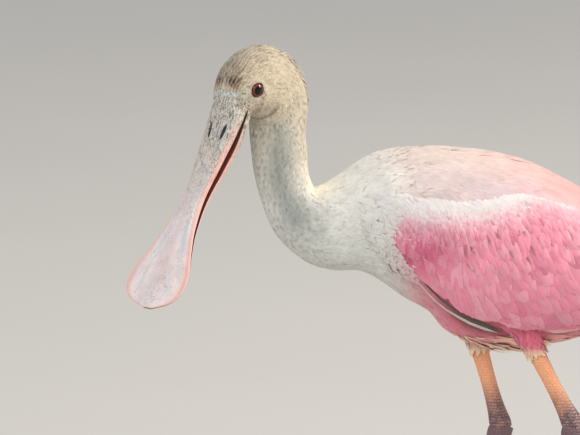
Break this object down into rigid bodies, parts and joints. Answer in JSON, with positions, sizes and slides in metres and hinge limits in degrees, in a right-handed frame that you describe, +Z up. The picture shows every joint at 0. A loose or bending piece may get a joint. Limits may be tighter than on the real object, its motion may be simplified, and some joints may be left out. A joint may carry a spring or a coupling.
{
  "type": "roseate spoonbill",
  "caption": "Life-size young roseate spoonbill standing still, its neck folded in a low curve, head turned and the long spoon-ended bill held down.",
  "frame": {"origin": "middle of the box round the bird, on the floor", "axes": "+Z up, -X the way the body faces, -Y the bird's left side"},
  "size_m": [0.5558, 0.1522, 0.3851],
  "materials": {
    "plumage": "soft white feathers, cream where the sun falls, with fine grey-brown streaks",
    "back": "soft white feathers with a pink wash",
    "covert": "soft rose-pink feathers",
    "flight": "firm pink feathers with a low sheen",
    "hand": "firm pale pink feathers with dusky edges",
    "tail": "firm pale buff-pink feathers",
    "bill": "pinkish grey horn and skin with bluish veins, low gloss",
    "eye": "wet red-brown iris with a black pupil",
    "skin": "salmon-orange scaled skin turning dusky at the ankle",
    "shank": "dark grey-brown scaled skin",
    "claw": "dark horn, low gloss"
  },
  "bodies": {
    "root": {"head": "plumage", "bill_upper": "bill", "bill_lower": "bill", "eye_left": "eye", "eye_right": "eye", "neck_upper": "plumage", "neck_middle": "plumage", "neck_lower": "plumage", "torso": "back", "tail": "tail", "wing_left_coverts": "covert", "wing_right_coverts": "covert", "wing_left_secondaries": "flight", "wing_right_secondaries": "flight", "wing_left_primaries": "hand", "wing_right_primaries": "hand", "leg_left_thigh": "plumage", "leg_left_shank": "skin", "leg_left_tarsus": "shank", "foot_left": "shank", "claw_left_inner": "claw", "claw_left_middle": "claw", "claw_left_outer": "claw", "claw_left_hind": "claw", "leg_right_thigh": "plumage", "leg_right_shank": "skin", "leg_right_tarsus": "shank", "foot_right": "shank", "claw_right_inner": "claw", "claw_right_middle": "claw", "claw_right_outer": "claw", "claw_right_hind": "claw"}
  },
  "joints": []
}
